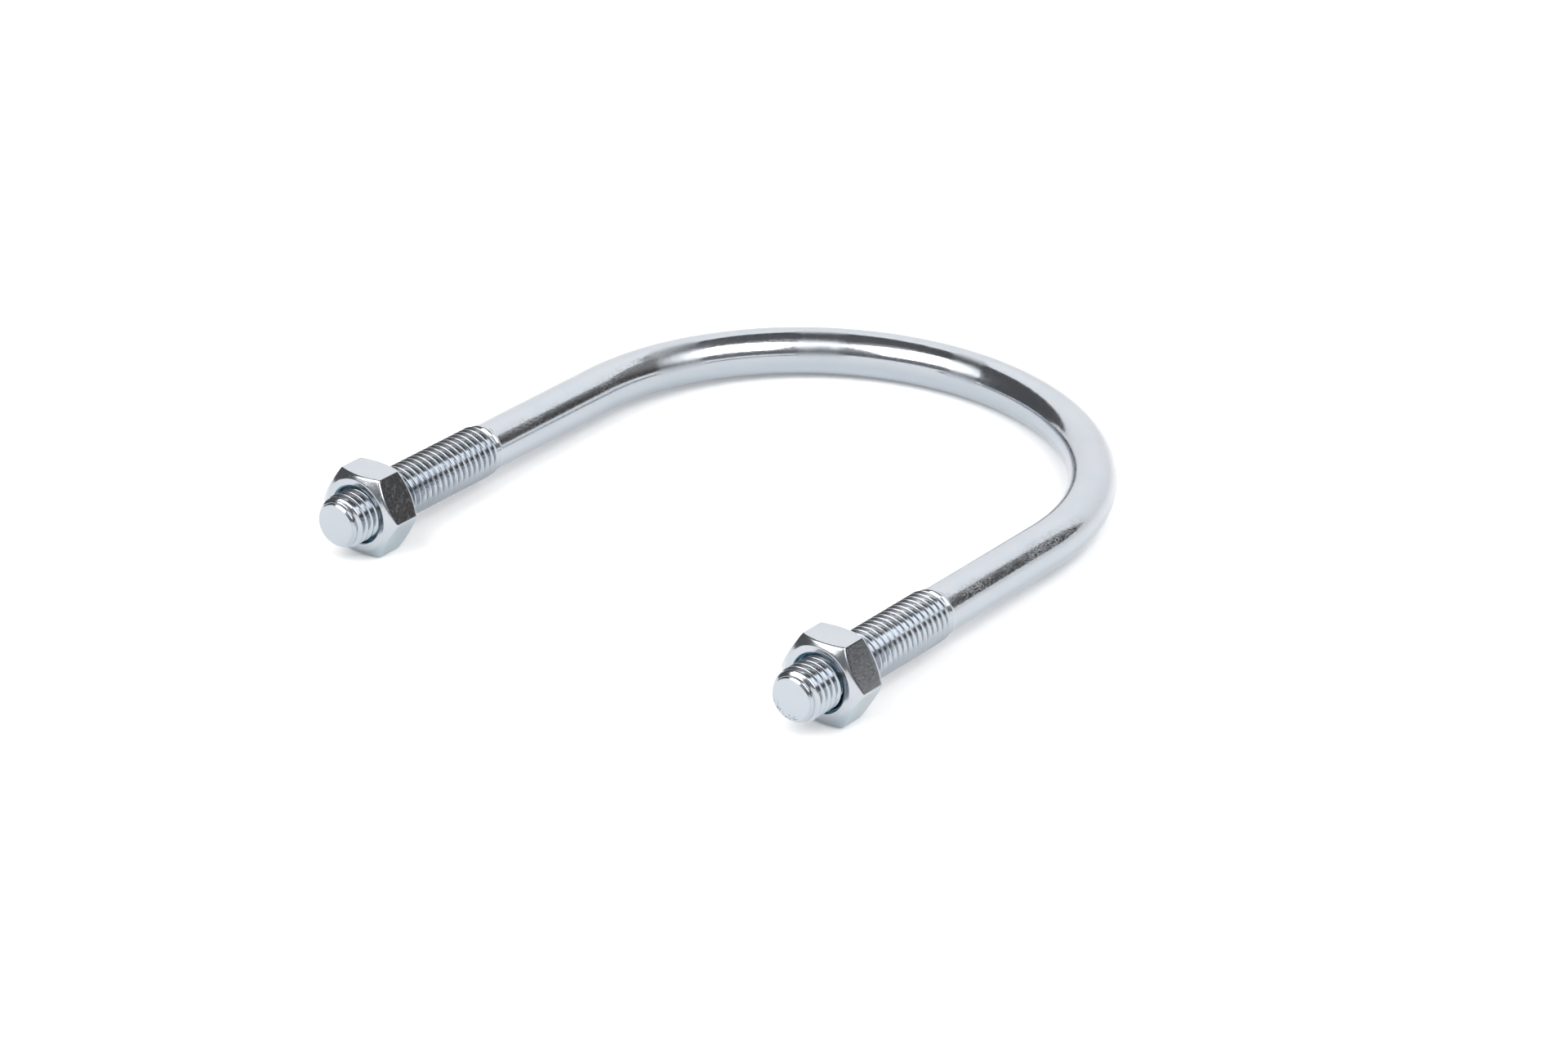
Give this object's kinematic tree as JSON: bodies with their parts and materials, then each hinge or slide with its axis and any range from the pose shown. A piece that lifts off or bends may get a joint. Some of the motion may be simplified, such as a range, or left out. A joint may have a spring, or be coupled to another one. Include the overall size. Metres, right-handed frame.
{
  "type": "threaded U-bolt with hex nuts",
  "caption": "Round-bend steel U-bolt with a rolled thread on both legs and a hex nut on each leg, for clamping a pipe or lashing eye to a plate.",
  "frame": {"origin": "centre of the bounding box: on the U's line of symmetry, in the plane of the rod's middle, halfway between the leg ends and the top of the bend", "axes": "+X runs from the left leg to the right leg, +Y runs along the legs from their threaded ends towards the bend, +Z is normal to the plane of the U"},
  "size_m": [0.1454, 0.1566, 0.0186],
  "materials": {
    "bolt_zinc": "bright bluish zinc plating on bent round bar, with light draw marks",
    "nut_zinc": "bluish zinc plating on pressed hexagon nuts, a little duller than the bar"
  },
  "bodies": {
    "bolt": {"u_bolt": "bolt_zinc"},
    "nut_left_travel_body": {"nut_left_washer_face": "nut_zinc"},
    "nut_left_turn_body": {"nut_left": "nut_zinc"},
    "nut_right_travel_body": {"nut_right_washer_face": "nut_zinc"},
    "nut_right_turn_body": {"nut_right": "nut_zinc"}
  },
  "joints": [
    {"name": "nut_left_travel", "type": "slide", "parent": "bolt", "child": "nut_left_travel_body", "axis": [0, 1, 0], "range_m": [-0.0169, 0.03055]},
    {"name": "nut_left_turn", "type": "hinge", "parent": "nut_left_travel_body", "child": "nut_left_turn_body", "pos_m": [-0.06193, -0.067, 0], "axis": [0, 1, 0], "range_deg": [-3456, 6264]},
    {"name": "nut_right_travel", "type": "slide", "parent": "bolt", "child": "nut_right_travel_body", "axis": [0, 1, 0], "range_m": [-0.01935, 0.0281]},
    {"name": "nut_right_turn", "type": "hinge", "parent": "nut_right_travel_body", "child": "nut_right_turn_body", "pos_m": [0.06193, -0.06455, 0], "axis": [0, 1, 0], "range_deg": [-3960, 5760]}
  ],
  "couplings": [
    {"joint": "nut_left_travel", "follows": "nut_left_turn", "m_per_rad": 0.00027852},
    {"joint": "nut_right_travel", "follows": "nut_right_turn", "m_per_rad": 0.00027852}
  ]
}
